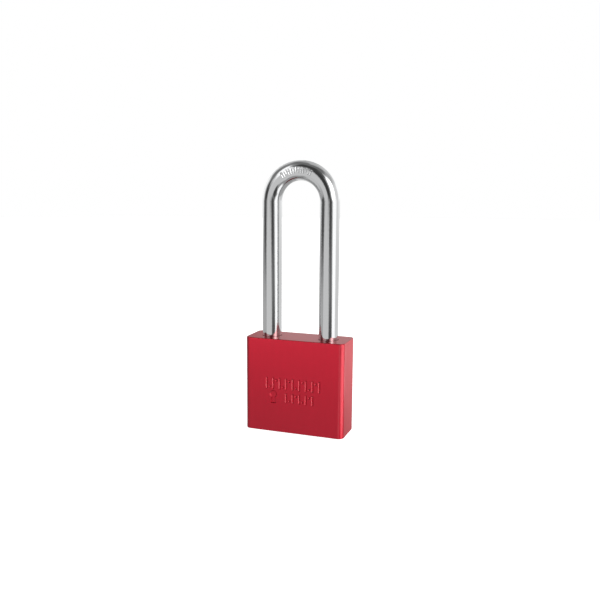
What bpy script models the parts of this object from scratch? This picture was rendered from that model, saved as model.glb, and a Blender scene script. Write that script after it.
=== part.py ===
"""Safety padlock: anodised block, round shackle held by two balls, six-pin cylinder.

Frame: origin at the bottom centre of the block, +X along its width with the toe leg at +X,
front face at -Y, +Z up. Rest pose: shackle down, pins at the shear line, cam at open.
All sizes below are in millimetres and are scaled to metres when a mesh is made.
"""
import bpy
import bmesh
import math
from mathutils import Matrix, Vector

MM = 0.001

# block
BODY_W, BODY_T, BODY_H = 50.8, 19.05, 46.8
BODY_EDGE_R = 2.7
BODY_RIM = 0.35

# shackle
LEG_X = 14.73
LEG_R = 4.7625
ARCH_Z = 113.2
LIFT = 15.5
HEEL_END_Z = 17.0
TOE_END_Z = 32.6
HOLE_R = 4.95
HEEL_FLOOR_Z = 3.0
TOE_FLOOR_Z = 30.0

# locking balls, notches and cam
BALL_Z = 38.0
BALL_R = 3.175
BALL_OUT = 9.095
TOE_IN = 6.555
HEEL_IN = 7.505
NOTCH_R = 3.4
RELIEF_X = 3.70
PASSAGE_R = 3.3
CAM_R = 5.78
CAM_Z0, CAM_Z1 = 34.0, 41.3
CHAMBER_R = 6.1
CHAMBER_Z0, CHAMBER_Z1 = 28.4, 43.4
TAIL_ARC = 133.0
LOST_ARC = 92.0
TAIL_Z1 = 33.6
DOG_Z0 = 30.4

# cylinder
HOUSING_R = 7.0
BIBLE_X = 15.0
BIBLE_HALF = 3.2
HOUSING_Z0, HOUSING_Z1 = 0.3, 27.0
PLUG_R = 5.75
PLUG_BORE_R = 5.87
PLUG_Z0, PLUG_Z1 = 0.5, 30.0
FLANGE_R = 6.4
FLANGE_Z1 = 2.05
CLIP_Z0, CLIP_Z1 = 27.2, 28.0
KEYWAY_X = 2.6
KEYWAY_Z1 = 24.8

# pin stacks
PIN_COUNT = 6
PIN_Z0 = 4.4
PIN_PITCH = 3.55
PIN_R = 1.3
PIN_HOLE_R = 1.42
KEY_PIN_TOP = 5.62
KEY_PIN_FLOOR = 0.9
KEY_PIN_LENGTHS = (3.2, 4.1, 3.5, 4.4, 3.0, 3.8)
DRIVER_X = 5.86
DRIVER_LENGTH = 4.2
COVER_X0, COVER_X1 = 14.2, 15.0
COVER_HALF = 1.6
COVER_Z0, COVER_Z1 = 2.4, 24.0

# cylinder screw
SCREW_X = 12.9
SCREW_R = 1.4
SCREW_HEAD_R = 2.5

RED = (0.58, 0.02, 0.04, 1.0)
STEEL = (0.62, 0.63, 0.64, 1.0)
SPRING_STEEL = (0.45, 0.46, 0.48, 1.0)
BRASS = (0.78, 0.60, 0.28, 1.0)

for stale in list(bpy.data.objects):
    bpy.data.objects.remove(stale, do_unlink=True)


def material(name, colour, roughness):
    mat = bpy.data.materials.new(name)
    mat.use_nodes = True
    shader = mat.node_tree.nodes["Principled BSDF"]
    shader.inputs["Base Color"].default_value = colour
    shader.inputs["Metallic"].default_value = 1.0
    shader.inputs["Roughness"].default_value = roughness
    mat.diffuse_color = colour
    return mat


def make(name, bm, mat, origin=(0, 0, 0), smooth=True, parent=None):
    """Turn a bmesh in millimetres into a named object with its origin at the given point."""
    bmesh.ops.recalc_face_normals(bm, faces=bm.faces[:])
    bmesh.ops.transform(bm, matrix=Matrix.Translation(-Vector(origin)), verts=bm.verts[:])
    bmesh.ops.scale(bm, vec=(MM, MM, MM), verts=bm.verts[:])
    mesh = bpy.data.meshes.new(name)
    bm.to_mesh(mesh)
    bm.free()
    mesh.polygons.foreach_set("use_smooth", [smooth] * len(mesh.polygons))
    obj = bpy.data.objects.new(name, mesh)
    bpy.context.scene.collection.objects.link(obj)
    obj.location = Vector(origin) * MM
    if mat:
        mesh.materials.append(mat)
    if parent:
        obj.parent = parent
        obj.location = (Vector(origin) - Vector(parent.location) / MM) * MM
    return obj


def cut(target, name, bm):
    """Take a cutter away from the target with an exact boolean."""
    tool = make("cut_" + name, bm, None, smooth=False)
    tool.hide_render = True
    tool.display_type = 'WIRE'
    mod = target.modifiers.new(name, 'BOOLEAN')
    mod.operation = 'DIFFERENCE'
    mod.solver = 'EXACT'
    mod.object = tool


def lathe(profile, segs, phase=0.0, centre=(0, 0)):
    """Closed solid of revolution about a vertical axis from (radius, z) points."""
    bm = bmesh.new()
    rings = []
    for r, z in profile:
        if r <= 0:
            rings.append([bm.verts.new((centre[0], centre[1], z))])
            continue
        ring = []
        for k in range(segs):
            a = phase + 2 * math.pi * k / segs
            ring.append(bm.verts.new((centre[0] + r * math.cos(a), centre[1] + r * math.sin(a), z)))
        rings.append(ring)
    for low, high in zip(rings, rings[1:]):
        join_rings(bm, low, high)
    for ring in (rings[0], rings[-1]):
        if len(ring) > 1:
            bm.faces.new(ring)
    return bm


def join_rings(bm, low, high):
    n = max(len(low), len(high))
    for k in range(n):
        j = (k + 1) % n
        if len(low) == 1:
            bm.faces.new((low[0], high[j], high[k]))
        elif len(high) == 1:
            bm.faces.new((low[k], low[j], high[0]))
        else:
            bm.faces.new((low[k], low[j], high[j], high[k]))


def prism(outline, z0, z1):
    """Closed prism between two heights from a list of (x, y) points."""
    bm = bmesh.new()
    low = [bm.verts.new((x, y, z0)) for x, y in outline]
    high = [bm.verts.new((x, y, z1)) for x, y in outline]
    join_rings(bm, low, high)
    bm.faces.new(low)
    bm.faces.new(high)
    return bm


def box(x0, x1, y0, y1, z0, z1):
    return prism([(x0, y0), (x1, y0), (x1, y1), (x0, y1)], z0, z1)


def turn(bm, matrix):
    bmesh.ops.transform(bm, matrix=matrix, verts=bm.verts[:])
    return bm


def along_x(bm, z, y=0.0):
    """Lay a solid made along +Z down along +X at the given height."""
    return turn(bm, Matrix.Translation((0, y, z)) @ Matrix.Rotation(math.radians(90), 4, 'Y'))


def arc(radius, a0, a1, count, centre=(0, 0)):
    step = (a1 - a0) / (count - 1)
    return [(centre[0] + radius * math.cos(math.radians(a0 + step * k)),
             centre[1] + radius * math.sin(math.radians(a0 + step * k))) for k in range(count)]


def tube(path, radius, sides):
    """Closed round wire along a list of points, with rings carried along without twist."""
    bm = bmesh.new()
    points = [Vector(p) for p in path]
    rings = []
    side = None
    for k, point in enumerate(points):
        tangent = (points[min(k + 1, len(points) - 1)] - points[max(k - 1, 0)]).normalized()
        if side is None:
            side = tangent.orthogonal().normalized()
        side = (side - tangent * side.dot(tangent)).normalized()
        up = tangent.cross(side)
        ring = []
        for s in range(sides):
            a = 2 * math.pi * s / sides
            ring.append(bm.verts.new(point + side * (radius * math.cos(a)) + up * (radius * math.sin(a))))
        rings.append(ring)
    for low, high in zip(rings, rings[1:]):
        join_rings(bm, low, high)
    bm.faces.new(rings[0])
    bm.faces.new(rings[-1])
    return bm


def helix(radius, z0, z1, turns, per_turn, start=0.0, closed_turns=0.75):
    """Coil centre line about +Z with closed end turns."""
    count = int(round(turns * per_turn))
    rise = 2.1 * closed_turns / turns
    points = []
    for k in range(count + 1):
        t = k / count
        a = math.radians(start) + 2 * math.pi * turns * t
        e = closed_turns / turns
        flat = 0.055
        if t < e:
            f = flat * t / e
        elif t > 1 - e:
            f = 1 - flat * (1 - t) / e
        else:
            f = flat + (1 - 2 * flat) * (t - e) / (1 - 2 * e)
        points.append((radius * math.cos(a), radius * math.sin(a), z0 + (z1 - z0) * f))
    return points


anodised = material("red_anodised_aluminium", RED, 0.34)
chrome = material("polished_steel", STEEL, 0.08)
hard_steel = material("hard_steel", STEEL, 0.2)
wire_steel = material("spring_steel", SPRING_STEEL, 0.3)
housing_brass = material("housing_brass", BRASS, 0.3)
plug_brass = material("plug_brass", BRASS, 0.22)
pin_brass = material("pin_brass", BRASS, 0.2)
cam_zinc = material("cam_steel", (0.5, 0.5, 0.52, 1.0), 0.35)
screw_steel = material("screw_steel", (0.4, 0.4, 0.42, 1.0), 0.3)

# ---------------------------------------------------------------- block
w, t, r = BODY_W / 2, BODY_T / 2, BODY_EDGE_R


def block_outline(inset):
    rr = r - inset * 0.5
    corners = ((w - r, t - r, 0), (-w + r, t - r, 90), (-w + r, -t + r, 180), (w - r, -t + r, 270))
    points = []
    for cx, cy, a in corners:
        points += arc(rr, a, a + 90, 8, (cx - math.copysign(inset - inset * 0.5, cx),
                                         cy - math.copysign(inset - inset * 0.5, cy)))
    return points


bm = bmesh.new()
rings = []
for inset, z in ((BODY_RIM, 0), (0, BODY_RIM), (0, BODY_H - BODY_RIM), (BODY_RIM, BODY_H)):
    rings.append([bm.verts.new((x, y, z)) for x, y in block_outline(inset)])
for low, high in zip(rings, rings[1:]):
    join_rings(bm, low, high)
bm.faces.new(rings[0])
bm.faces.new(rings[-1])
lock_body = make("lock_body", bm, anodised, smooth=False)

cut(lock_body, "cylinder_bore", lathe([(0, -1), (7.12, -1), (7.12, CHAMBER_Z0), (CHAMBER_R, CHAMBER_Z0),
                                       (CHAMBER_R, CHAMBER_Z1), (0, CHAMBER_Z1)], 40))
cut(lock_body, "bible_slot", box(2.0, BIBLE_X + 0.1, -BIBLE_HALF - 0.1, BIBLE_HALF + 0.1, -1.5, HOUSING_Z1 + 0.1))
cut(lock_body, "heel_hole", lathe([(0, HEEL_FLOOR_Z), (HOLE_R, HEEL_FLOOR_Z), (HOLE_R, BODY_H - 0.4),
                                   (HOLE_R + 0.4, BODY_H), (HOLE_R + 0.4, BODY_H + 1), (0, BODY_H + 1)],
                                  32, centre=(-LEG_X, 0)))
cut(lock_body, "toe_hole", lathe([(0, TOE_FLOOR_Z), (HOLE_R, TOE_FLOOR_Z), (HOLE_R, BODY_H - 0.4),
                                  (HOLE_R + 0.4, BODY_H), (HOLE_R + 0.4, BODY_H + 1), (0, BODY_H + 1)],
                                 32, centre=(LEG_X, 0)))
cut(lock_body, "ball_passage", along_x(lathe([(0, -12), (PASSAGE_R, -12), (PASSAGE_R, 12), (0, 12)], 24), BALL_Z))
cut(lock_body, "screw_hole", lathe([(0, HOUSING_Z1 - 1), (1.6, HOUSING_Z1 - 1), (1.6, TOE_FLOOR_Z + 1),
                                    (0, TOE_FLOOR_Z + 1)], 16, centre=(SCREW_X, 0)))

# ---------------------------------------------------------------- shackle
SIDES = 24
path = []
groove_z = BALL_Z - LIFT
groove_c = LEG_X - HEEL_IN
groove_edge = math.sqrt(NOTCH_R ** 2 - (groove_c - LEG_R) ** 2)
heel = [(HEEL_END_Z, LEG_R - 0.6), (HEEL_END_Z + 0.6, LEG_R)]
for k in range(9):
    z = groove_edge * (k - 4) / 4
    heel.append((groove_z + z, min(LEG_R, groove_c - math.sqrt(NOTCH_R ** 2 - z * z))))
for z, radius in heel:
    path.append((Vector((-LEG_X, 0, z)), Vector((0, 0, 1)), radius))
for k in range(25):
    a = math.pi * k / 24
    path.append((Vector((-LEG_X * math.cos(a), 0, ARCH_Z + LEG_X * math.sin(a))),
                 Vector((math.sin(a), 0, math.cos(a))), LEG_R))
path.append((Vector((LEG_X, 0, TOE_END_Z + 0.5)), Vector((0, 0, -1)), LEG_R))
path.append((Vector((LEG_X, 0, TOE_END_Z)), Vector((0, 0, -1)), LEG_R - 0.5))
bm = bmesh.new()
rings = []
for point, tangent, radius in path:
    across = Vector((0, 1, 0)).cross(tangent)
    rings.append([bm.verts.new(point + across * (radius * math.cos(2 * math.pi * k / SIDES))
                               + Vector((0, 1, 0)) * (radius * math.sin(2 * math.pi * k / SIDES)))
                  for k in range(SIDES)])
for low, high in zip(rings, rings[1:]):
    join_rings(bm, low, high)
bm.faces.new(rings[0])
bm.faces.new(rings[-1])
shackle = make("shackle", bm, chrome, origin=(-LEG_X, 0, BODY_H))
for side, label in ((-1, "heel_notch"), (1, "toe_notch")):
    notch = lathe([(0, -7), (NOTCH_R, -7), (NOTCH_R, 7), (0, 7)], 24)
    turn(notch, Matrix.Translation((side * BALL_OUT, 0, BALL_Z)) @ Matrix.Rotation(math.radians(90), 4, 'X'))
    cut(shackle, label, notch)
cut(shackle, "heel_relief", box(-LEG_X + RELIEF_X, -LEG_X + 6, -7, 7, groove_z, BALL_Z))

spring = helix(4.0, HEEL_FLOOR_Z + 0.55, HEEL_END_Z - 0.55, 9.0, 12)
make("shackle_spring", turn(tube(spring, 0.45, 5), Matrix.Translation((-LEG_X, 0, 0))), wire_steel,
     origin=(-LEG_X, 0, HEEL_FLOOR_Z))


# ---------------------------------------------------------------- balls and cam
def ball(name, x):
    rings = [(BALL_R * math.sin(math.pi * k / 12), -BALL_R * math.cos(math.pi * k / 12)) for k in range(13)]
    rings[0], rings[-1] = (0, -BALL_R), (0, BALL_R)
    bm = along_x(lathe(rings, 20), 0.0)
    make(name, turn(bm, Matrix.Translation((x, 0, BALL_Z))), hard_steel, origin=(x, 0, BALL_Z))


ball("toe_ball", TOE_IN)
ball("heel_ball", -HEEL_IN)


def cam_radius(angle):
    """Disc radius less everything the two balls sweep while the cam makes its quarter turn."""
    reach = CAM_R
    room = BALL_R + 0.12
    for base, inner in ((0.0, TOE_IN), (180.0, HEEL_IN)):
        for k in range(46):
            phi = base + 2.0 * k
            d = inner + (BALL_OUT - inner) * k / 45
            delta = math.radians((angle - phi + 180) % 360 - 180)
            off = d * math.sin(delta)
            if math.cos(delta) > 0 and abs(off) < room:
                reach = min(reach, d * math.cos(delta) - math.sqrt(room ** 2 - off ** 2))
    return reach


outline = []
for k in range(72):
    a = 5.0 * k
    outline.append((cam_radius(a) * math.cos(math.radians(a)), cam_radius(a) * math.sin(math.radians(a))))
cam = prism(outline, CAM_Z0, CAM_Z1)
locking_cam = make("locking_cam", cam, cam_zinc, smooth=False)
dog_a = 180 + TAIL_ARC / 2 + LOST_ARC
dog = prism(arc(4.9, dog_a, dog_a + TAIL_ARC, 15) + arc(1.2, dog_a + TAIL_ARC, dog_a, 7), DOG_Z0, CAM_Z0 + 0.6)
joined = make("join_dog", dog, None, smooth=False)
joined.hide_render = True
joined.display_type = 'WIRE'
mod = locking_cam.modifiers.new("dog", 'BOOLEAN')
mod.operation, mod.solver, mod.object = 'UNION', 'EXACT', joined
TANG_A = 300.0
tang = (4.3 * math.cos(math.radians(TANG_A)), 4.3 * math.sin(math.radians(TANG_A)))
cut(locking_cam, "tang_hole", lathe([(0, CAM_Z1 - 1.6), (0.5, CAM_Z1 - 1.6), (0.5, CAM_Z1 + 1), (0, CAM_Z1 + 1)],
                                    10, centre=tang))

coil = [(tang[0], tang[1], CAM_Z1 - 1.2), (tang[0], tang[1], CAM_Z1 + 0.2)]
TURNS = 2.0
for k in range(int(16 * TURNS) + 1):
    a = math.radians(TANG_A + 8 + 360.0 * k / 16)
    coil.append((4.3 * math.cos(a), 4.3 * math.sin(a), CAM_Z1 + 0.42 + 1.25 * k / (16 * TURNS)))
last = math.radians(TANG_A + 8 + 360 * TURNS + 10)
coil.append((5.0 * math.cos(last), 5.0 * math.sin(last), CAM_Z1 + 1.68))
make("cam_spring", tube(coil, 0.22, 5), wire_steel, origin=(0, 0, CAM_Z1))

# ---------------------------------------------------------------- cylinder
top = math.degrees(math.asin(BIBLE_HALF / HOUSING_R))
keyhole = arc(HOUSING_R, top, 360 - top, 40)
keyhole += [(BIBLE_X - 0.8, -BIBLE_HALF), (BIBLE_X - 0.25, -BIBLE_HALF + 0.25), (BIBLE_X, -BIBLE_HALF + 0.8),
            (BIBLE_X, BIBLE_HALF - 0.8), (BIBLE_X - 0.25, BIBLE_HALF - 0.25), (BIBLE_X - 0.8, BIBLE_HALF)]
housing = make("cylinder_housing", prism(keyhole, HOUSING_Z0, HOUSING_Z1), housing_brass, smooth=False)
cut(housing, "plug_bore", lathe([(0, -1), (FLANGE_R + 0.1, -1), (FLANGE_R + 0.1, FLANGE_Z1 + 0.1),
                                 (PLUG_BORE_R, FLANGE_Z1 + 0.1), (PLUG_BORE_R, 28), (0, 28)], 40))
cut(housing, "cover_slot", box(COVER_X0 - 0.05, BIBLE_X + 1, -COVER_HALF - 0.08, COVER_HALF + 0.08,
                               COVER_Z0 - 0.1, COVER_Z1 + 0.1))
cut(housing, "screw_thread", lathe([(0, 24.4), (SCREW_R + 0.1, 24.4), (SCREW_R + 0.1, 28), (0, 28)], 16,
                                   centre=(SCREW_X, 0)))

tail_a = 180 - TAIL_ARC / 2
plug = make("cylinder_plug", lathe([(0, PLUG_Z0), (FLANGE_R - 0.3, PLUG_Z0), (FLANGE_R, PLUG_Z0 + 0.3),
                                    (FLANGE_R, FLANGE_Z1), (PLUG_R, FLANGE_Z1), (PLUG_R, CLIP_Z0 - 0.1),
                                    (4.9, CLIP_Z0 - 0.1), (4.9, CLIP_Z1 + 0.1), (PLUG_R, CLIP_Z1 + 0.1),
                                    (PLUG_R, PLUG_Z1 - 0.3), (PLUG_R - 0.3, PLUG_Z1), (0, PLUG_Z1)], 40),
            plug_brass, smooth=False)
tail = prism(arc(4.9, tail_a, tail_a + TAIL_ARC, 15) + arc(1.2, tail_a + TAIL_ARC, tail_a, 7),
             PLUG_Z1 - 0.6, TAIL_Z1)
joined = make("join_tail", tail, None, smooth=False)
joined.hide_render = True
joined.display_type = 'WIRE'
mod = plug.modifiers.new("tail", 'BOOLEAN')
mod.operation, mod.solver, mod.object = 'UNION', 'EXACT', joined
keyway = [(-7, -1.1), (-3.2, -1.1), (-2.6, -0.4), (-1.2, -0.4), (-0.6, -1.1), (KEYWAY_X, -1.1),
          (KEYWAY_X, 1.1), (0.9, 1.1), (0.3, 0.35), (-1.9, 0.35), (-2.5, 1.1), (-7, 1.1)]
cut(plug, "keyway", prism(keyway, -1, KEYWAY_Z1))

arc_out = arc(6.7, 35, 325, 25)
arc_in = arc(5.0, 325, 35, 25)
make("plug_clip", prism(arc_out + arc_in, CLIP_Z0, CLIP_Z1), wire_steel, smooth=False, parent=plug)
make("chamber_cover", box(COVER_X0, COVER_X1, -COVER_HALF, COVER_HALF, COVER_Z0, COVER_Z1), housing_brass,
     smooth=False)
make("cylinder_screw", lathe([(0, 24.6), (SCREW_R - 0.3, 24.6), (SCREW_R, 24.9), (SCREW_R, TOE_FLOOR_Z + 0.1),
                              (SCREW_HEAD_R, TOE_FLOOR_Z + 0.1), (SCREW_HEAD_R, TOE_FLOOR_Z + 1.5),
                              (SCREW_HEAD_R - 0.4, TOE_FLOOR_Z + 1.9), (1.0, TOE_FLOOR_Z + 1.9),
                              (1.0, TOE_FLOOR_Z + 1.0), (0, TOE_FLOOR_Z + 1.0)], 20, centre=(SCREW_X, 0)),
     screw_steel)

# ---------------------------------------------------------------- pin stacks
for i in range(PIN_COUNT):
    n = str(i + 1)
    z = PIN_Z0 + PIN_PITCH * i
    length = KEY_PIN_LENGTHS[i]
    cut(plug, "plug_chamber_" + n,
        along_x(lathe([(0, KEY_PIN_FLOOR - 0.12), (PIN_HOLE_R, KEY_PIN_FLOOR - 0.12), (PIN_HOLE_R, 7), (0, 7)],
                      16), z))
    cut(housing, "housing_chamber_" + n,
        along_x(lathe([(0, 4), (PIN_HOLE_R, 4), (PIN_HOLE_R, COVER_X0 + 0.4), (0, COVER_X0 + 0.4)], 16), z))
    x0 = KEY_PIN_TOP - length
    pin = [(0, x0), (0.45, x0), (PIN_R, x0 + 0.85), (PIN_R, KEY_PIN_TOP - 0.25), (PIN_R - 0.25, KEY_PIN_TOP),
           (0, KEY_PIN_TOP)]
    make("key_pin_" + n, along_x(lathe(pin, 14), z), pin_brass, origin=(x0, 0, z))
    x1 = DRIVER_X + DRIVER_LENGTH
    pin = [(0, DRIVER_X), (PIN_R - 0.2, DRIVER_X), (PIN_R, DRIVER_X + 0.2), (PIN_R, x1 - 0.7),
           (0.7, x1 - 0.7), (0.7, x1), (0, x1)]
    make("driver_pin_" + n, along_x(lathe(pin, 14), z), hard_steel, origin=(DRIVER_X, 0, z))
    wire = helix(1.05, x1 - 0.48, COVER_X0 - 0.3, 3.75, 10)
    make("pin_spring_" + n, along_x(tube(wire, 0.17, 4), z), wire_steel, origin=(COVER_X0, 0, z))
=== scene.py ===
"""Looks of the safety padlock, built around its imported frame.

Shapes are made in millimetres and scaled to metres. +X runs along the block's width with the
free toe leg at +X, the front face is at -Y, and +Z is up. Places come from the frame's boxes.
"""
import math
import bpy
import bmesh
from mathutils import Matrix, Vector


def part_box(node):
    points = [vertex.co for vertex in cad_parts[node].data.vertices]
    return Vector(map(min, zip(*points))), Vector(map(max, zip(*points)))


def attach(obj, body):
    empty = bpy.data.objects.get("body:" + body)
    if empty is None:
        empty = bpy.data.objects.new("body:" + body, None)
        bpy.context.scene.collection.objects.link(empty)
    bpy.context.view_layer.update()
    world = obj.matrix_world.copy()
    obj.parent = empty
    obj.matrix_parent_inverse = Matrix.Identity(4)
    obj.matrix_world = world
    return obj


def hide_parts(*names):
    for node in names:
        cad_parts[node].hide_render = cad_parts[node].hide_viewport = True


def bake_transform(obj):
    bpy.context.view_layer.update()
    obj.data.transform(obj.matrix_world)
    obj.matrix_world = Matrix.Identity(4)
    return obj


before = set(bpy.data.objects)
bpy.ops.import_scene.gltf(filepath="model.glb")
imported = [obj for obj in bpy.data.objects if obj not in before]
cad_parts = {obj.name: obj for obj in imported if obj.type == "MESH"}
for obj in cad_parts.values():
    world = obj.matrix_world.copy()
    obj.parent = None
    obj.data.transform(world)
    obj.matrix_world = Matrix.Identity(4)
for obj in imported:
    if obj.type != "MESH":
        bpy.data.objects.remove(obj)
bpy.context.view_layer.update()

MM = 0.001


# ---------------------------------------------------------------- sizes, all in millimetres
def box_mm(node):
    low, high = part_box(node)
    return low / MM, high / MM


body_low, body_high = box_mm("lock_body")
bar_low, bar_high = box_mm("shackle")
toe_low, toe_high = box_mm("toe_ball")
heel_high = box_mm("heel_ball")[1]
shell_low, shell_high = box_mm("cylinder_housing")
plug_low, plug_high = box_mm("cylinder_plug")
ring_low, ring_high = box_mm("plug_clip")
strip_low, strip_high = box_mm("chamber_cover")
bolt_low, bolt_high = box_mm("cylinder_screw")

BODY_H = body_high.z
BODY_EDGE_R = 2.7
BODY_RIM = 0.32
LEG_R = (bar_high.y - bar_low.y) / 2
LEG_X = bar_high.x - LEG_R
ARCH_Z = bar_high.z - LEG_X - LEG_R
HEEL_END_Z = bar_low.z
TOE_END_Z = 32.6
HOLE_R = 4.95
HEEL_FLOOR_Z = 3.0
TOE_FLOOR_Z = 30.0
LIFT = 15.5

BALL_R = 3.175
BALL_Z = (toe_low.z + toe_high.z) / 2
BALL_OUT = 9.095
TOE_IN = toe_low.x + BALL_R
HEEL_IN = -heel_high.x + BALL_R
NOTCH_R = 3.4
RELIEF_X = 3.70
PASSAGE_R = 3.3
CAM_R = 5.78
CAM_Z0, CAM_Z1 = 34.0, 41.3
CHAMBER_R, CHAMBER_Z0, CHAMBER_Z1 = 6.1, 28.4, 43.4
BORE_R = 7.12
TAIL_ARC, LOST_ARC = 133.0, 92.0
DOG_Z0, TAIL_Z1 = 30.4, plug_high.z
TANG_A, TANG_R = 300.0, 4.3

HOUSING_R = 7.0
BIBLE_X = shell_high.x
BIBLE_HALF = 3.2
HOUSING_Z0, HOUSING_Z1 = shell_low.z, shell_high.z
PLUG_R, PLUG_BORE_R = 5.75, 5.87
PLUG_Z0, PLUG_Z1 = plug_low.z, 30.0
FLANGE_R, FLANGE_Z1 = plug_high.x, 2.05
CLIP_Z0, CLIP_Z1 = ring_low.z, ring_high.z
KEYWAY_X, KEYWAY_Z1 = 2.6, 24.8
PIN_HOLE_R = 1.42
SCREW_X = (bolt_low.x + bolt_high.x) / 2
SCREW_R = 1.4
SCREW_HEAD_R = (bolt_high.x - bolt_low.x) / 2


# ---------------------------------------------------------------- mesh tools
def join_rings(bm, low, high):
    n = max(len(low), len(high))
    for k in range(n):
        j = (k + 1) % n
        if len(low) == 1:
            bm.faces.new((low[0], high[j], high[k]))
        elif len(high) == 1:
            bm.faces.new((low[k], low[j], high[0]))
        else:
            bm.faces.new((low[k], low[j], high[j], high[k]))


def skin(bm, rings):
    """Faces between neighbouring rings of points, with a cap on each open end."""
    rings = [[bm.verts.new(p) for p in ring] for ring in rings]
    for low, high in zip(rings, rings[1:]):
        join_rings(bm, low, high)
    for ring in (rings[0], rings[-1]):
        if len(ring) > 1:
            bm.faces.new(ring)
    return bm


def lathe(profile, segs=64, centre=(0, 0)):
    """Solid of revolution about a vertical axis from (radius, z) points."""
    rings = []
    for r, z in profile:
        turns = range(segs) if r > 0 else range(1)
        rings.append([(centre[0] + r * math.cos(2 * math.pi * k / segs),
                       centre[1] + r * math.sin(2 * math.pi * k / segs), z) for k in turns])
    return skin(bmesh.new(), rings)


def prism(outline, z0, z1):
    return skin(bmesh.new(), [[(x, y, z) for x, y in outline] for z in (z0, z1)])


def rod(radius, z0, z1, segs, centre=(0, 0)):
    return lathe([(0, z0), (radius, z0), (radius, z1), (0, z1)], segs, centre)


def box(x0, x1, y0, y1, z0, z1):
    return prism([(x0, y0), (x1, y0), (x1, y1), (x0, y1)], z0, z1)


def turn(bm, matrix):
    bmesh.ops.transform(bm, matrix=matrix, verts=bm.verts[:])
    return bm


def along_x(bm, z=0.0, x=0.0):
    """Lay a solid made along +Z down along +X."""
    return turn(bm, Matrix.Translation((x, 0, z)) @ Matrix.Rotation(math.radians(90), 4, 'Y'))


def polar(radius, degrees):
    return radius * math.cos(math.radians(degrees)), radius * math.sin(math.radians(degrees))


def arc(radius, a0, a1, count, centre=(0, 0)):
    step = (a1 - a0) / (count - 1)
    return [(centre[0] + radius * math.cos(math.radians(a0 + step * k)),
             centre[1] + radius * math.sin(math.radians(a0 + step * k))) for k in range(count)]


def round_rect(w, h, r, steps=10, centre=(0, 0)):
    points = []
    for sx, sy, a in ((1, 1, 0), (-1, 1, 90), (-1, -1, 180), (1, -1, 270)):
        corner = (centre[0] + sx * (w / 2 - r), centre[1] + sy * (h / 2 - r))
        points += arc(r, a, a + 90, steps, corner)
    return points


def tube(path, radius, sides=12):
    """Closed round wire along a list of points, its rings carried along without twist."""
    points = [Vector(p) for p in path]
    rings, side = [], None
    for k, point in enumerate(points):
        tangent = (points[min(k + 1, len(points) - 1)] - points[max(k - 1, 0)]).normalized()
        if side is None:
            side = tangent.orthogonal().normalized()
        side = (side - tangent * side.dot(tangent)).normalized()
        up = tangent.cross(side)
        rings.append([point + side * (radius * math.cos(2 * math.pi * s / sides))
                      + up * (radius * math.sin(2 * math.pi * s / sides)) for s in range(sides)])
    return skin(bmesh.new(), rings)


def helix(radius, z0, z1, turns, per_turn, closed_turns=0.75, flat=0.055):
    """Coil centre line about +Z with closed end turns."""
    count = int(round(turns * per_turn))
    e = closed_turns / turns
    points = []
    for k in range(count + 1):
        t = k / count
        a = 2 * math.pi * turns * t
        if t < e:
            f = flat * t / e
        elif t > 1 - e:
            f = 1 - flat * (1 - t) / e
        else:
            f = flat + (1 - 2 * flat) * (t - e) / (1 - 2 * e)
        points.append((radius * math.cos(a), radius * math.sin(a), z0 + (z1 - z0) * f))
    return points


def merge(*parts):
    """One bmesh holding several separate solids."""
    whole = parts[0]
    for part in parts[1:]:
        mesh = bpy.data.meshes.new("join")
        part.to_mesh(mesh)
        part.free()
        whole.from_mesh(mesh)
        bpy.data.meshes.remove(mesh)
    return whole


def to_object(name, bm):
    bmesh.ops.recalc_face_normals(bm, faces=bm.faces[:])
    bmesh.ops.scale(bm, vec=(MM, MM, MM), verts=bm.verts[:])
    mesh = bpy.data.meshes.new(name)
    bm.to_mesh(mesh)
    bm.free()
    obj = bpy.data.objects.new(name, mesh)
    bpy.context.scene.collection.objects.link(obj)
    return obj


def bake(obj):
    """Apply every modifier on obj to its mesh."""
    bpy.context.view_layer.update()
    graph = bpy.context.evaluated_depsgraph_get()
    mesh = bpy.data.meshes.new_from_object(obj.evaluated_get(graph))
    obj.modifiers.clear()
    old, obj.data = obj.data, mesh
    bpy.data.meshes.remove(old)
    mesh.name = obj.name


def carve(obj, cutters, operation='DIFFERENCE'):
    """Take each cutter away from obj, or add it, with exact booleans."""
    for bm in cutters:
        tool = to_object("tool", bm)
        mod = obj.modifiers.new("cut", 'BOOLEAN')
        mod.operation, mod.solver, mod.object = operation, 'EXACT', tool
        bake(obj)
        data = tool.data
        bpy.data.objects.remove(tool)
        bpy.data.meshes.remove(data)
    return obj


def soften(obj, width, segments=2, angle=32.0):
    """Small rounding on every sharp edge."""
    bm = bmesh.new()
    bm.from_mesh(obj.data)
    bmesh.ops.remove_doubles(bm, verts=bm.verts[:], dist=2e-7)
    bmesh.ops.dissolve_degenerate(bm, dist=2e-7, edges=bm.edges[:])
    bm.to_mesh(obj.data)
    bm.free()
    mod = obj.modifiers.new("edges", 'BEVEL')
    mod.width = width * MM
    mod.segments = segments
    mod.limit_method = 'ANGLE'
    mod.angle_limit = math.radians(angle)
    mod.use_clamp_overlap = True
    mod.miter_outer = 'MITER_ARC'
    bake(obj)
    return obj


def shade(obj, angle=40.0):
    obj.data.polygons.foreach_set("use_smooth", [True] * len(obj.data.polygons))
    obj.data.set_sharp_from_angle(angle=math.radians(angle))


def piece(obj, node, body, mat, weighted=True, angle=40.0):
    """Shade, paint and hang a finished piece on its body in place of its CAD node."""
    shade(obj, angle)
    if weighted:
        mod = obj.modifiers.new("normals", 'WEIGHTED_NORMAL')
        mod.keep_sharp = True
        mod.weight = 60
    obj.data.materials.clear()
    obj.data.materials.append(mat)
    if body:
        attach(obj, body)
    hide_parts(node)
    return obj


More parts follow.
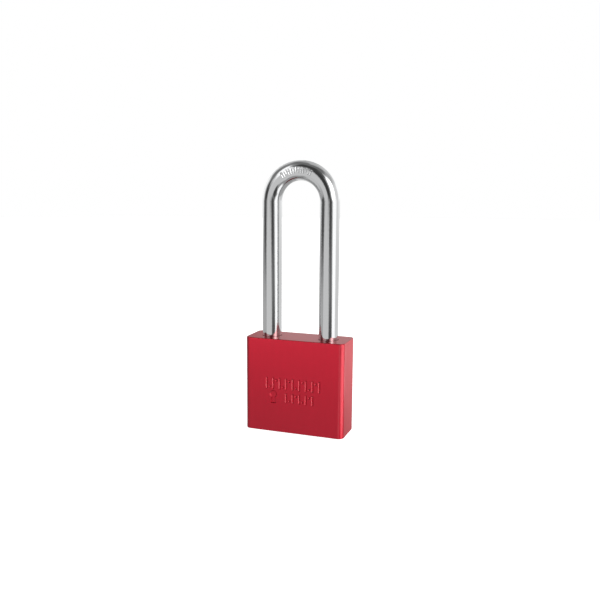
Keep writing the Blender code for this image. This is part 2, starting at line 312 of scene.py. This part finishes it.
# ---------------------------------------------------------------- materials
class Nodes:
    """Short way to wire a material's node tree."""

    def __init__(self, name, colour, rough, metallic=1.0):
        self.mat = bpy.data.materials.new(name)
        self.mat.use_nodes = True
        self.tree = self.mat.node_tree
        self.shader = self.tree.nodes["Principled BSDF"]
        self.shader.inputs["Base Color"].default_value = (*colour, 1.0)
        self.shader.inputs["Metallic"].default_value = metallic
        self.shader.inputs["Roughness"].default_value = rough
        self.mat.diffuse_color = (*colour, 1.0)
        self.place = self.add("ShaderNodeTexCoord").outputs["Object"]

    def add(self, kind, **values):
        node = self.tree.nodes.new(kind)
        for key, value in values.items():
            setattr(node, key, value)
        return node

    def link(self, a, b):
        self.tree.links.new(a, b)

    def noise(self, stretch, detail=3.0, rough=0.5):
        """Noise on the object's own coordinates; stretch is cells per millimetre along x, y, z."""
        scale = self.add("ShaderNodeMapping")
        self.link(self.place, scale.inputs["Vector"])
        scale.inputs["Scale"].default_value = [s / MM for s in stretch]
        tex = self.add("ShaderNodeTexNoise")
        tex.inputs["Scale"].default_value = 1.0
        tex.inputs["Detail"].default_value = detail
        tex.inputs["Roughness"].default_value = rough
        self.link(scale.outputs["Vector"], tex.inputs["Vector"])
        return tex.outputs["Fac"]

    def rings(self, centre, pitch):
        """Turning marks: fine rings about a vertical axis."""
        scale = self.add("ShaderNodeMapping")
        self.link(self.place, scale.inputs["Vector"])
        scale.inputs["Location"].default_value = [-c * MM for c in centre]
        tex = self.add("ShaderNodeTexWave", wave_type='RINGS', rings_direction='Z')
        tex.inputs["Scale"].default_value = 0.05 / (pitch * MM)
        tex.inputs["Distortion"].default_value = 1.5
        tex.inputs["Detail"].default_value = 2.0
        self.link(scale.outputs["Vector"], tex.inputs["Vector"])
        return tex.outputs["Fac"]

    def span(self, value, low, high, socket):
        """Drive a socket from a 0..1 value mapped to low..high."""
        node = self.add("ShaderNodeMapRange")
        self.link(value, node.inputs["Value"])
        node.inputs["From Min"].default_value = 0.3
        node.inputs["From Max"].default_value = 0.7
        node.inputs["To Min"].default_value = low
        node.inputs["To Max"].default_value = high
        self.link(node.outputs["Result"], socket)

    def tint(self, value, low, high):
        """Base colour that wanders between two colours."""
        mix = self.add("ShaderNodeMix", data_type='RGBA')
        self.link(value, mix.inputs["Factor"])
        mix.inputs["A"].default_value = (*low, 1.0)
        mix.inputs["B"].default_value = (*high, 1.0)
        self.link(mix.outputs["Result"], self.shader.inputs["Base Color"])

    def bump(self, value, depth):
        """Height in millimetres; several bumps chain."""
        node = self.add("ShaderNodeBump")
        node.inputs["Strength"].default_value = 1.0
        node.inputs["Distance"].default_value = depth * MM
        self.link(value, node.inputs["Height"])
        old = self.shader.inputs["Normal"].links
        if old:
            self.link(old[0].from_socket, node.inputs["Normal"])
        self.link(node.outputs["Normal"], self.shader.inputs["Normal"])


def brushed(name, colour, rough, stretch=(9, 9, 9), depth=0.002, spread=0.06):
    """Metal with fine grain: roughness, colour and height all wander a little along it."""
    lift = 0.12
    m = Nodes(name, colour, rough)
    grain = m.noise(stretch, 4.0, 0.6)
    m.span(grain, rough - spread, rough + spread, m.shader.inputs["Roughness"])
    m.tint(m.noise([s * 0.25 for s in stretch], 2.0), [c * (1 - lift) for c in colour],
           [min(1, c * (1 + lift * 0.5)) for c in colour])
    m.bump(grain, depth)
    return m


RED = (0.35, 0.004, 0.017)
anodised = Nodes("anodised_red", RED, 0.45)
drawn = anodised.noise((7.0, 7.0, 0.22), 5.0, 0.62)
anodised.span(drawn, 0.42, 0.50, anodised.shader.inputs["Roughness"])
anodised.tint(anodised.noise((0.5, 0.5, 0.12), 3.0),
              [c * 0.94 for c in RED], [c * 1.04 for c in RED])
anodised.bump(drawn, 0.0012)
anodised.bump(anodised.noise((16, 16, 16), 2.0), 0.0010)
for name, value in (("Coat Weight", 0.46), ("Coat Roughness", 0.16), ("Coat IOR", 1.5),
                    ("Specular Tint", (0.95, 0.65, 0.65, 1))):
    anodised.shader.inputs[name].default_value = value

chrome = Nodes("chrome_plate", (0.62, 0.625, 0.63), 0.07)
pebble = chrome.noise((2.2, 2.2, 0.8), 4.0, 0.65)
chrome.span(pebble, 0.05, 0.10, chrome.shader.inputs["Roughness"])
chrome.bump(pebble, 0.012)

steel = brushed("ground_steel", (0.60, 0.60, 0.61), 0.16)
wire = brushed("spring_wire", (0.40, 0.41, 0.43), 0.28, (3, 3, 3), 0.003)
shell_brass = brushed("shell_brass", (0.74, 0.55, 0.24), 0.28, (10, 10, 0.5), 0.003)
plug_brass = brushed("plug_brass", (0.78, 0.60, 0.29), 0.24, (10, 10, 0.6), 0.002)
plug_brass.bump(plug_brass.rings((0, 0, 0), 0.25), 0.004)
pin_brass = brushed("pin_brass", (0.80, 0.62, 0.30), 0.2, (1, 12, 12), 0.002)
cam_metal = brushed("sintered_steel", (0.42, 0.42, 0.43), 0.42, (8, 8, 8), 0.012, 0.08)
bolt_metal = brushed("dark_steel", (0.16, 0.16, 0.17), 0.32, (8, 8, 8), 0.004)

# ---------------------------------------------------------------- block
half_w, half_t = body_high.x, body_high.y
rings = []
for k in range(5):
    a = math.radians(22.5 * k)
    inset, z = BODY_RIM * (1 - math.sin(a)), BODY_RIM * (1 - math.cos(a))
    rings.append([(x, y, z) for x, y in round_rect(2 * (half_w - inset), 2 * (half_t - inset),
                                                   BODY_EDGE_R - inset * 0.5, 14)])
rings += [[(x, y, BODY_H - z) for x, y, z in ring] for ring in reversed(rings)]
block = to_object("body_block", skin(bmesh.new(), rings))


def leg_hole(side, floor):
    """Cutter for a shackle hole with a small chamfer at its mouth."""
    mouth = HOLE_R + 0.12
    return lathe([(0, floor), (HOLE_R, floor), (HOLE_R, BODY_H - 0.15), (mouth, BODY_H - 0.03),
                  (mouth, BODY_H + 1), (0, BODY_H + 1)], 72, (side * LEG_X, 0))


carve(block, [
    lathe([(0, -1), (BORE_R, -1), (BORE_R, CHAMBER_Z0), (CHAMBER_R, CHAMBER_Z0),
           (CHAMBER_R, CHAMBER_Z1), (0, CHAMBER_Z1)], 80),
    prism(round_rect(BIBLE_X + 0.12, 2 * BIBLE_HALF + 0.24, 0.6, 6, (BIBLE_X / 2 + 0.06, 0)),
          -1.5, HOUSING_Z1 + 0.1),
    leg_hole(-1, HEEL_FLOOR_Z),
    leg_hole(1, TOE_FLOOR_Z),
    along_x(rod(PASSAGE_R, -12, 12, 48), BALL_Z),
    rod(1.6, HOUSING_Z1 - 1, TOE_FLOOR_Z + 1, 32, (SCREW_X, 0)),
])

# plain engraved badge: two rows of upright bars and dots, with a keyhole, all with sloping walls
BADGE = (-0.2, 21.6)
ENGRAVED = 0.42
PITCH = 3.4


def inset(points, d):
    """Move a closed outline inwards, or outwards for a negative distance."""
    out = []
    for k, here in enumerate(points):
        a, b, c = (Vector(p) for p in (points[k - 1], here, points[(k + 1) % len(points)]))
        n = ((b - a).normalized() + (c - b).normalized()).orthogonal().normalized()
        out.append(b - n * d if n.cross(c - a) > 0 else b + n * d)
    return out


def groove(points, x, z):
    """Cutter for an outline on the front face, at (x, z) from the badge's middle."""
    rings = [[(u, v, h) for u, v in inset(points, -h)] for h in (-ENGRAVED, 0.25)]
    place = Matrix.Translation((BADGE[0] + x, body_low.y, BADGE[1] + z))
    return turn(skin(bmesh.new(), rings), place @ Matrix.Rotation(math.radians(90), 4, 'X'))


def upright(length):
    width = 1.05
    reach = (length - width) / 2
    return arc(width / 2, 0, 180, 9, (0, reach)) + arc(width / 2, 180, 360, 9, (0, -reach))


dot = arc(0.62, 0, 337.5, 16)
badge = [groove(upright(5.8), -13.6 + PITCH * k, 3.0) for k in range(9)]
badge += [groove(dot, -11.9 + PITCH * k, 3.0 - 1.6 * (-1) ** k) for k in range(8)]
badge += [groove(upright(5.0), -3.4 + PITCH * k, -4.0) for k in range(5)]
badge += [groove(dot, -1.7 + PITCH * k, -4.0 - 1.3 * (-1) ** k) for k in range(4)]
badge.append(groove(arc(1.9, -60, 240, 26, (0, 1.3)) + [(-1.5, -3.3), (1.5, -3.3)], -10.2, -3.8))
carve(block, [merge(*badge)])
soften(block, 0.09, 2)
piece(block, "lock_body", "body", anodised.mat)

# ---------------------------------------------------------------- shackle
SIDES = 72
groove_z = BALL_Z - LIFT
groove_c = LEG_X - HEEL_IN
groove_edge = math.sqrt(NOTCH_R ** 2 - (groove_c - LEG_R) ** 2)
END_R = 0.7


def leg_end(x, tip, lean):
    """The rounded end of a leg, from its full radius to its tip."""
    steps = [math.radians(15 * k) for k in range(7)]
    return [(x, tip + END_R * (1 - math.sin(a)), lean, LEG_R - END_R * (1 - math.cos(a)))
            for a in steps]


path = leg_end(-LEG_X, HEEL_END_Z, 0)[::-1]
for k in range(21):
    z = groove_edge * (k - 10) / 10
    path.append((-LEG_X, groove_z + z, 0,
                 min(LEG_R, groove_c - math.sqrt(NOTCH_R ** 2 - z * z))))
for k in range(12):
    z = groove_z + groove_edge + 1 + (ARCH_Z - groove_z - groove_edge - 1) * k / 12
    path.append((-LEG_X, z, 0, LEG_R))
for k in range(97):
    a = math.pi * k / 96
    path.append((-LEG_X * math.cos(a), ARCH_Z + LEG_X * math.sin(a), a, LEG_R))
for k in range(1, 12):
    path.append((LEG_X, ARCH_Z + (TOE_END_Z + END_R - ARCH_Z) * k / 12, math.pi, LEG_R))
path += leg_end(LEG_X, TOE_END_Z, math.pi)
rings = []
for x, z, lean, r in path:
    across = Vector((math.cos(lean), 0, -math.sin(lean)))
    rings.append([Vector((x, 0, z)) + across * (r * math.cos(2 * math.pi * k / SIDES))
                  + Vector((0, r * math.sin(2 * math.pi * k / SIDES), 0)) for k in range(SIDES)])
bar = to_object("shackle_bar", skin(bmesh.new(), rings))
cutters = []
for side in (-1, 1):
    place = Matrix.Translation((side * BALL_OUT, 0, BALL_Z))
    cutters.append(turn(rod(NOTCH_R, -7, 7, 64), place @ Matrix.Rotation(math.radians(90), 4, 'X')))
cutters.append(box(-LEG_X + RELIEF_X, -LEG_X + 6, -7, 7, groove_z, BALL_Z))
# plain punch marks across the front of the bend: long, split and short strokes in turn, each
# given by its angles round the bar
STROKES = (((-17, 17),), ((-17, -4), (6, 17)), ((-8, 17),), ((-17, 10),))
MARK_R, MARK_OUT = 0.36, 0.10
marks = []
for k in range(13):
    lean = math.radians(64 + 4.9 * k)
    out = Vector((math.cos(lean), 0, math.sin(lean)))
    centre = Vector((0, 0, ARCH_Z)) + out * LEG_X
    for low, high in STROKES[k % 4]:
        line = []
        for j in range(11):
            a = math.radians(low + (high - low) * j / 10)
            away = out * math.sin(a) - Vector((0, math.cos(a), 0))
            line.append(centre + away * (LEG_R + MARK_OUT))
        marks.append(tube(line, MARK_R, 10))
cutters.append(merge(*marks))
carve(bar, cutters)
soften(bar, 0.12, 2, 35)
piece(bar, "shackle", "shackle", chrome.mat, angle=50)

# ------------------------------------------------- springs
line = helix(4.0, HEEL_FLOOR_Z + 0.55, HEEL_END_Z - 0.55, 9.0, 40)
coil = to_object("shackle_coil", turn(tube(line, 0.45, 14), Matrix.Translation((-LEG_X, 0, 0))))
piece(coil, "shackle_spring", None, wire.mat, weighted=False)
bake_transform(coil)

line = [(TANG_R, TANG_A, CAM_Z1 - 1.2), (TANG_R, TANG_A, CAM_Z1 + 0.2)]
for k in range(97):
    line.append((TANG_R, TANG_A + 8 + 7.5 * k, CAM_Z1 + 0.42 + 1.25 * k / 96))
line.append((5.0, TANG_A + 8 + 720 + 10, CAM_Z1 + 1.68))
line = [(*polar(r, a), z) for r, a, z in line]
twist = to_object("cam_return_coil", tube(line, 0.22, 10))
piece(twist, "cam_spring", None, wire.mat, weighted=False)
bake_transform(twist)

# ---------------------------------------------------------------- balls and cam
profile = [(BALL_R * math.sin(math.pi * k / 32), -BALL_R * math.cos(math.pi * k / 32))
           for k in range(33)]
profile[0], profile[-1] = (0, -BALL_R), (0, BALL_R)
for name, node, x in (("toe_lock_ball", "toe_ball", TOE_IN),
                      ("heel_lock_ball", "heel_ball", -HEEL_IN)):
    ball = to_object(name, turn(lathe(profile, 64), Matrix.Translation((x, 0, BALL_Z))))
    piece(ball, node, node, steel.mat, weighted=False, angle=180)


def cam_radius(angle):
    """Disc radius less everything the two balls sweep while the cam makes its quarter turn."""
    reach, room = CAM_R, BALL_R + 0.12
    for base, inner in ((0.0, TOE_IN), (180.0, HEEL_IN)):
        for k in range(91):
            d = inner + (BALL_OUT - inner) * k / 90
            delta = math.radians((angle - base - k + 180) % 360 - 180)
            off = d * math.sin(delta)
            if math.cos(delta) > 0 and abs(off) < room:
                reach = min(reach, d * math.cos(delta) - math.sqrt(room ** 2 - off ** 2))
    return reach


def sector(a, z0, z1):
    """A tail or dog: part of a ring, TAIL_ARC wide from the angle a."""
    return prism(arc(4.9, a, a + TAIL_ARC, 40) + arc(1.2, a + TAIL_ARC, a, 16), z0, z1)


outline = [polar(cam_radius(2.0 * k), 2.0 * k) for k in range(180)]
cam = to_object("cam_disc", prism(outline, CAM_Z0, CAM_Z1))
dog_a = 180 + TAIL_ARC / 2 + LOST_ARC
carve(cam, [sector(dog_a, DOG_Z0, CAM_Z0 + 0.6)], 'UNION')
carve(cam, [rod(0.42, CAM_Z1 - 1.6, CAM_Z1 + 1, 24, polar(TANG_R, TANG_A))])
soften(cam, 0.14, 2, 40)
piece(cam, "locking_cam", "cam", cam_metal.mat)

# ---------------------------------------------------------------- cylinder
stacks = []
for i in range(6):
    low, high = box_mm("key_pin_%d" % (i + 1))
    stacks.append({"z": (low.z + high.z) / 2, "x0": low.x, "x1": high.x, "r": (high.z - low.z) / 2,
                   "drive": box_mm("driver_pin_%d" % (i + 1))})

top = math.degrees(math.asin(BIBLE_HALF / HOUSING_R))
keyhole = arc(HOUSING_R, top, 360 - top, 90)
keyhole += arc(0.8, -90, 0, 7, (BIBLE_X - 0.8, -BIBLE_HALF + 0.8))
keyhole += arc(0.8, 0, 90, 7, (BIBLE_X - 0.8, BIBLE_HALF - 0.8))
shell = to_object("cylinder_shell", prism(keyhole, HOUSING_Z0, HOUSING_Z1))
cover_slot = box(strip_low.x - 0.05, BIBLE_X + 1, strip_low.y - 0.08, strip_high.y + 0.08,
                 strip_low.z - 0.1, strip_high.z + 0.1)
carve(shell, [
    lathe([(0, -1), (FLANGE_R + 0.1, -1), (FLANGE_R + 0.1, FLANGE_Z1 + 0.1),
           (PLUG_BORE_R, FLANGE_Z1 + 0.1), (PLUG_BORE_R, 28), (0, 28)], 80),
    cover_slot,
    rod(SCREW_R + 0.1, 24.4, 28, 32, (SCREW_X, 0)),
] + [along_x(rod(PIN_HOLE_R, 4, strip_low.x + 0.4, 36), s["z"]) for s in stacks])
soften(shell, 0.1, 2, 40)
piece(shell, "cylinder_housing", "body", shell_brass.mat)

core = to_object("plug_core", lathe([
    (0, PLUG_Z0), (FLANGE_R - 0.3, PLUG_Z0), (FLANGE_R - 0.09, PLUG_Z0 + 0.09),
    (FLANGE_R, PLUG_Z0 + 0.3), (FLANGE_R, FLANGE_Z1), (PLUG_R, FLANGE_Z1), (PLUG_R, CLIP_Z0 - 0.1),
    (4.9, CLIP_Z0 - 0.1), (4.9, CLIP_Z1 + 0.1), (PLUG_R, CLIP_Z1 + 0.1), (PLUG_R, PLUG_Z1 - 0.3),
    (PLUG_R - 0.3, PLUG_Z1), (0, PLUG_Z1)], 96))
carve(core, [sector(180 - TAIL_ARC / 2, PLUG_Z1 - 0.6, TAIL_Z1)], 'UNION')
keyway = [(-7, -1.1), (-3.2, -1.1), (-2.6, -0.4), (-1.2, -0.4), (-0.6, -1.1), (KEYWAY_X, -1.1),
          (KEYWAY_X, 1.1), (0.9, 1.1), (0.3, 0.35), (-1.9, 0.35), (-2.5, 1.1), (-7, 1.1)]
carve(core, [prism(keyway, -1, KEYWAY_Z1)]
      + [along_x(rod(PIN_HOLE_R, 0.78, 7, 36), s["z"]) for s in stacks])
soften(core, 0.08, 2, 40)
piece(core, "cylinder_plug", "plug", plug_brass.mat)

clip = to_object("plug_ring", prism(arc(6.7, 35, 325, 80) + arc(5.0, 325, 35, 80),
                                    CLIP_Z0, CLIP_Z1))
carve(clip, [rod(0.28, 26, 29, 16, polar(5.85, a)) for a in (41, 319)])
soften(clip, 0.1, 2, 40)
piece(clip, "plug_clip", "plug", wire.mat)

outline = round_rect(strip_high.y - strip_low.y, strip_high.z - strip_low.z, 0.35, 5)
strip = to_object("chamber_strip", prism(outline, -0.4, 0.4))
middle = ((strip_low.x + strip_high.x) / 2 * MM, 0, (strip_low.z + strip_high.z) / 2 * MM)
strip.data.transform(Matrix.Translation(middle)
                     @ Matrix(((0, 0, 1, 0), (1, 0, 0, 0), (0, 1, 0, 0), (0, 0, 0, 1))))
soften(strip, 0.08, 2, 40)
piece(strip, "chamber_cover", "body", shell_brass.mat)

# screw with a cut thread and a hexagon socket
THREAD_PITCH, THREAD_DEPTH, THREAD_SEGS = 0.5, 0.17, 40
head_z = bolt_low.z + 5.5
rings = [[(SCREW_X, 0, bolt_low.z)]]
steps = int(round((head_z - bolt_low.z) / THREAD_PITCH * 10))
for k in range(steps + 1):
    z = bolt_low.z + (head_z - bolt_low.z) * k / steps
    lead = min(1.0, k / 8, (steps - k) / 8)
    ring = []
    for s in range(THREAD_SEGS):
        phase = (z / THREAD_PITCH - s / THREAD_SEGS) % 1.0
        r = SCREW_R - THREAD_DEPTH * lead * abs(2 * phase - 1) - 0.25 * (k < 1)
        a = 2 * math.pi * s / THREAD_SEGS
        ring.append((SCREW_X + r * math.cos(a), r * math.sin(a), z))
    rings.append(ring)
turns = [2 * math.pi * s / THREAD_SEGS for s in range(THREAD_SEGS)]
for r, z in ((SCREW_HEAD_R, head_z), (SCREW_HEAD_R, head_z + 1.45),
             (SCREW_HEAD_R - 0.12, head_z + 1.7), (SCREW_HEAD_R - 0.4, bolt_high.z)):
    rings.append([(SCREW_X + r * math.cos(a), r * math.sin(a), z) for a in turns])
rings.append([(SCREW_X, 0, bolt_high.z)])
bolt = to_object("cylinder_bolt", skin(bmesh.new(), rings))
carve(bolt, [prism(arc(1.15, 0, 300, 6, (SCREW_X, 0)), bolt_high.z - 1.1, bolt_high.z + 1)])
piece(bolt, "cylinder_screw", "body", bolt_metal.mat, angle=35)

# ---------------------------------------------------------------- pin stacks
WAISTED = (1, 3, 4)     # the driver pins, counted from 0, which have a waist
for i, s in enumerate(stacks):
    n, r, x0, x1 = str(i + 1), s["r"], s["x0"], s["x1"]
    profile = [(0, x0)]
    for a in (math.radians(30), math.radians(60), math.radians(90)):
        profile.append((0.45 * math.sin(a), x0 + 0.14 * (1 - math.cos(a))))
    profile += [(r - 0.06, x0 + 0.80), (r, x0 + 0.92), (r, x1 - 0.28), (r - 0.07, x1 - 0.12),
                (r - 0.25, x1), (0, x1)]
    pin = to_object("key_pin_brass_" + n, along_x(lathe(profile, 40), s["z"]))
    piece(pin, "key_pin_" + n, "key_pin_" + n, pin_brass.mat, angle=45)

    low, high = s["drive"]
    d0, d1 = low.x, high.x
    profile = [(0, d0), (r - 0.2, d0), (r - 0.06, d0 + 0.06), (r, d0 + 0.2), (r, d0 + 0.75)]
    if i in WAISTED:
        profile += [(r - 0.22, d0 + 1.0), (r - 0.22, d1 - 1.75), (r, d1 - 1.5)]
    profile += [(r, d1 - 0.82), (r - 0.12, d1 - 0.7), (0.7, d1 - 0.7), (0.7, d1 - 0.08),
                (0.62, d1), (0, d1)]
    pin = to_object("driver_pin_steel_" + n, along_x(lathe(profile, 40), s["z"]))
    piece(pin, "driver_pin_" + n, "driver_" + n, steel.mat, angle=45)

    low, high = box_mm("pin_spring_" + n)
    line = helix(1.05, low.x + 0.17, high.x - 0.17, 4.75, 28)
    spring = to_object("pin_coil_" + n, along_x(tube(line, 0.15, 8), s["z"]))
    piece(spring, "pin_spring_" + n, None, wire.mat, weighted=False)
    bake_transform(spring)

# ---------------------------------------------------------------- floor, light and camera
CAM_AZ, CAM_PITCH, CAM_ROLL = math.radians(19.741), math.radians(8.706), math.radians(0.365)
CAM_PLACE = Vector((114.21, -318.475, 117.05)) * MM
CAM_FOCAL = 697.2       # for an image 600 wide

scene = bpy.context.scene
ahead = Vector((-math.sin(CAM_AZ) * math.cos(CAM_PITCH), math.cos(CAM_AZ) * math.cos(CAM_PITCH),
                -math.sin(CAM_PITCH)))
right = Vector((math.cos(CAM_AZ), math.sin(CAM_AZ), 0))
over = right.cross(ahead)
right, over = (right * math.cos(CAM_ROLL) + over * math.sin(CAM_ROLL),
               over * math.cos(CAM_ROLL) - right * math.sin(CAM_ROLL))
camera = bpy.data.objects.new("camera", bpy.data.cameras.new("camera"))
camera.data.sensor_width = 36.0
camera.data.lens = CAM_FOCAL / 600 * 36.0
camera.data.clip_start = 0.005
look = Matrix((right, over, -ahead)).transposed()
camera.matrix_world = Matrix.LocRotScale(CAM_PLACE, look, None)
scene.collection.objects.link(camera)
scene.camera = camera
scene.view_settings.view_transform = 'Standard'

bm = bmesh.new()
bmesh.ops.create_circle(bm, cap_ends=True, segments=96, radius=3000)
floor = to_object("floor", turn(bm, Matrix.Translation((0, 0, -0.05))))
pale = Nodes("pale_floor", (0.9, 0.9, 0.9), 0.9, 0.0)
pale.shader.inputs["Emission Color"].default_value = (1, 1, 1, 1)
pale.shader.inputs["Emission Strength"].default_value = 0.8
floor.data.materials.append(pale.mat)
floor.visible_glossy = False

# Studio: a grey room with soft panels, painted by direction, each over the ones before it.
# Angles are in degrees, from the front at CAM_AZ, positive to the right, and above the horizon.
# soft is the width of a panel's soft edge, at most MOST_SOFT above and below; lean is how fast
# a panel climbs with azimuth about its own middle: (az0, az1, el0, el1, soft, lean, light).
ROOM_LIGHT = 0.42
MOST_SOFT = 12
PANELS = (
    (-400, 400, 56, 130, 18, 0, 0.22),
    (100, 400, 46, 100, 24, 0, 0.62),
    (-400, -148, 46, 80, 20, 0, 0.48),
    (66, 400, -18, 40, 12, 0, 0.90),
    (110, 400, 38, 58, 14, 0, 0.82),
    (66, 110, -4, 30, 10, 0, 1.00),
    (110, 165, -1, 25, 14, 0, 1.50),
    (85, 150, -60, -18, 12, 0, 0.52),
    (160, 400, -60, 50, 12, 0, 0.60),
    (160, 400, -2, 21, 8, 0, 1.05),
    (-400, -124, 20, 53, 20, 0, 0.76),
    (-130, -70, 26, 62, 16, 0, 0.32),
    (-400, -113, -3, 25, 36, 0, 1.40),
    (-400, -160, -2, 18, 8, 0, 0.45),
    (-400, -177, -2, 21, 4, 0, 1.05),
    (-400, -158, -60, -22, 14, 0, 0.95),
    (-72, 4, -60, 20, 8, 0, 0.83),
    (-400, -72, -17, -5, 6, 0, 0.58),
    (-118, -68, -50, -17, 12, 0, 0.78),
    (30, 84, -56, -13, 12, 0, 1.55),
    (32, 76, -16, 4, 12, 0, 1.60),
    (16, 66, 1, 51, 18, 0, 1.25),
    (28, 54, 4, 43, 26, 0, 5.50),
    (62, 106, 36, 60, 14, 0, 0.60),
    (-2, 37, -31, -8, 10, 0, 0.08),
    (30, 48, -25, -17, 8, 0, 0.30),
    (-9, 21, -7, 4, 8, 0, 0.10),
    (-78, -46, 18, 42, 8, -0.8, 1.60),
    (-112, -78, 19, 38, 10, -1.0, 0.24),
    (-97, -72, 6, 19, 8, -0.25, 0.10),
    (-97, -60, -1, 11, 8, 0, 0.08),
    (-110, -72, -6, 1, 8, 0, 0.09),
    (-27, 6, 0, 46, 10, 0, 0.06),
    (-56, 14, 38, 66, 12, 0, 0.07),
    (0, 24, 38, 60, 12, 0, 0.12),
)
world = bpy.data.worlds.new("studio")
scene.world = world
world.use_nodes = True
tree = world.node_tree
tree.nodes.clear()


def calc(operation, *values, kind="ShaderNodeMath"):
    node = tree.nodes.new(kind)
    node.operation = operation
    for socket, value in zip(node.inputs, values):
        if isinstance(value, bpy.types.NodeSocket):
            tree.links.new(value, socket)
        else:
            socket.default_value = value
    return node.outputs["Value"]


def step_at(value, edge, soft):
    """0 below the edge and 1 above it, with a smooth step soft degrees wide."""
    node = tree.nodes.new("ShaderNodeMapRange")
    node.interpolation_type = 'SMOOTHSTEP'
    tree.links.new(value, node.inputs["Value"])
    node.inputs["From Min"].default_value = edge - soft / 2
    node.inputs["From Max"].default_value = edge + soft / 2
    return node.outputs["Result"]


way = tree.nodes.new("ShaderNodeTexCoord").outputs["Generated"]


def share_along(direction):
    return calc('DOT_PRODUCT', way, direction, kind="ShaderNodeVectorMath")


def band(value, low, high, soft):
    return calc('SUBTRACT', step_at(value, low, soft), step_at(value, high, soft))


def mixed(under, over, share):
    return calc('ADD', calc('MULTIPLY', under, calc('SUBTRACT', 1.0, share)),
                calc('MULTIPLY', share, over))


to_right = share_along((math.cos(CAM_AZ), math.sin(CAM_AZ), 0))
to_front = share_along((math.sin(CAM_AZ), -math.cos(CAM_AZ), 0))
upward = share_along((0, 0, 1))
azimuth = calc('DEGREES', calc('ARCTAN2', to_right, to_front))
height = calc('DEGREES', calc('ARCSINE', upward))
light = calc('ADD', ROOM_LIGHT, 0.0)
for az0, az1, el0, el1, soft, lean, level in PANELS:
    tilted = height
    if lean:
        climb = calc('MULTIPLY', calc('SUBTRACT', azimuth, (az0 + az1) / 2), lean)
        tilted = calc('SUBTRACT', height, climb)
    share = calc('MULTIPLY', band(azimuth, az0, az1, soft),
                 band(tilted, el0, el1, min(soft, MOST_SOFT)))
    light = mixed(light, level, share)
# the camera itself sees plain white beyond the floor
seen = tree.nodes.new("ShaderNodeLightPath").outputs["Is Camera Ray"]
light = calc('ADD', calc('MULTIPLY', light, calc('SUBTRACT', 1.0, seen)), seen)
room = tree.nodes.new("ShaderNodeBackground")
tree.links.new(light, room.inputs["Strength"])
out = tree.nodes.new("ShaderNodeOutputWorld")
tree.links.new(room.outputs["Background"], out.inputs["Surface"])
room.inputs["Color"].default_value = (1, 1, 1, 1)

# Soft lights which only fall on the block: one low in front of it, a fill, one for the highlight
# of its front edge and one for its right side. Angles are from the block's front: (name, azimuth,
# elevation, distance, width, height, light), in degrees and metres.
LAMPS = (
    ("front_light", -20, 6, 0.25, 0.30, 0.06, 3.9),
    ("fill_light", 16, -15, 0.45, 0.24, 0.24, 1.4),
    ("edge_light", 74, -14, 0.45, 0.62, 0.12, 4.2),
    ("side_light", 145, -8, 0.90, 0.36, 0.28, 3.2),
)
block_only = bpy.data.collections.new("block_only")
block_only.objects.link(block)
for name, az, el, reach, wide, tall, light in LAMPS:
    data = bpy.data.lights.new(name, 'AREA')
    data.shape, data.size, data.size_y = 'RECTANGLE', wide, tall
    data.energy = light * math.pi * wide * tall
    lamp = bpy.data.objects.new(name, data)
    a, e = math.radians(az), math.radians(el)
    off = Vector((math.sin(a) * math.cos(e), -math.cos(a) * math.cos(e), math.sin(e)))
    place = Vector((0, 0, BODY_H / 2 * MM)) + off * reach
    lamp.matrix_world = Matrix.LocRotScale(place, off.to_track_quat('Z', 'Y'), None)
    lamp.visible_camera = False
    lamp.light_linking.receiver_collection = block_only
    lamp.light_linking.blocker_collection = block_only
    scene.collection.objects.link(lamp)
